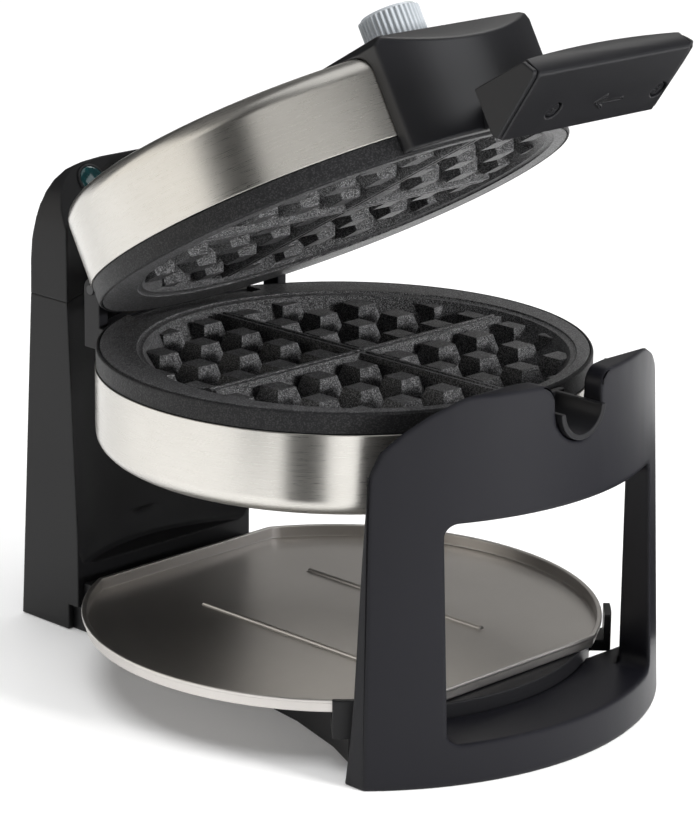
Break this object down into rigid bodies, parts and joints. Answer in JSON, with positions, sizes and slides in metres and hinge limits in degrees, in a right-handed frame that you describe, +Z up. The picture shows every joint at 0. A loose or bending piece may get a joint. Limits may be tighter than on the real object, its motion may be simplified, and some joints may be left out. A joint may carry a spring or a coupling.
{
  "type": "waffle maker",
  "caption": "Countertop waffle maker whose hinged round halves turn over in a rear bearing and a front cradle, above a lift-out drip tray.",
  "frame": {"origin": "on the supporting surface, straight below the middle of the closed round cooking halves", "axes": "+Z up, the handle and the front support towards -Y, the tower and the flip bearing towards +Y, +X to the right as seen from the front"},
  "size_m": [0.2224, 0.2905, 0.2941],
  "materials": {
    "black_satin": "satin black moulding",
    "black_gloss": "glossy black moulding",
    "rim_grain": "fine grained charcoal heat-resistant moulding",
    "brushed_steel": "brushed stainless sheet",
    "tray_steel": "rolled and brushed stainless sheet",
    "nonstick": "cast aluminium with a speckled black non-stick coating",
    "bright_metal": "plain turned or pressed metal",
    "screw_steel": "zinc-plated steel",
    "bronze": "sintered bronze",
    "rubber": "moulded rubber",
    "insulation": "off-white insulating plastic",
    "wire": "insulated copper lead",
    "dial_grey": "silver-grey moulding",
    "teal_lens": "tinted lamp lens",
    "red_lens": "tinted lamp lens"
  },
  "bodies": {
    "stand": {"base_frame": "black_satin", "base_cover": "black_satin", "front_support": "black_satin", "support_screws": "screw_steel", "rubber_feet": "rubber", "tower_housing": "black_satin", "tower_cap": "black_satin", "lamp_bezels": "black_gloss", "ready_lamp": "teal_lens", "power_lamp": "red_lens", "tower_screws": "screw_steel", "bearing_bush": "bronze", "cord_inlet": "black_gloss", "terminal_block": "insulation", "lead_bundle": "wire"},
    "stop_ring": {"stop_ring": "bronze"},
    "lower_half": {"trunnion": "bright_metal", "trunnion_washer": "screw_steel", "trunnion_clip": "screw_steel", "hinge_yoke": "black_satin", "yoke_screws": "screw_steel", "hinge_pin": "screw_steel", "lower_shell": "brushed_steel", "lower_rim": "rim_grain", "lower_plate": "nonstick", "lower_element": "bright_metal", "lower_reflector": "bright_metal", "thermal_fuse": "insulation", "front_boss": "black_satin", "lower_plate_screws": "screw_steel"},
    "lid": {"upper_shell": "brushed_steel", "upper_rim": "rim_grain", "upper_plate": "nonstick", "upper_element": "bright_metal", "upper_reflector": "bright_metal", "thermostat": "insulation", "hinge_block": "bright_metal", "upper_plate_screws": "screw_steel", "handle_housing": "black_gloss", "handle_neck": "black_satin", "handle_grip": "black_satin", "grip_end_caps": "black_gloss", "grip_core": "screw_steel", "grip_screws": "screw_steel"},
    "dial": {"dial_knob": "dial_grey", "dial_spindle": "screw_steel"},
    "tray": {"drip_tray": "tray_steel"}
  },
  "joints": [
    {"name": "stop_ring_turn", "type": "hinge", "parent": "stand", "child": "stop_ring", "pos_m": [0, 0.129, 0.1464], "axis": [0, 1, 0], "range_deg": [0, 90]},
    {"name": "half_turn", "type": "hinge", "parent": "stop_ring", "child": "lower_half", "pos_m": [0, 0.12, 0.1464], "axis": [0, 1, 0], "range_deg": [0, 90]},
    {"name": "lid_hinge", "type": "hinge", "parent": "lower_half", "child": "lid", "pos_m": [0, 0.097, 0.1604], "axis": [1, 0, 0], "range_deg": [0, 30]},
    {"name": "dial_turn", "type": "hinge", "parent": "lid", "child": "dial", "pos_m": [0, -0.03013, 0.27421], "axis": [0, 0.5, 0.866], "range_deg": [0, 270]},
    {"name": "tray_lift", "type": "slide", "parent": "stand", "child": "tray", "axis": [0, 0, 1], "range_m": [0, 0.04]}
  ]
}
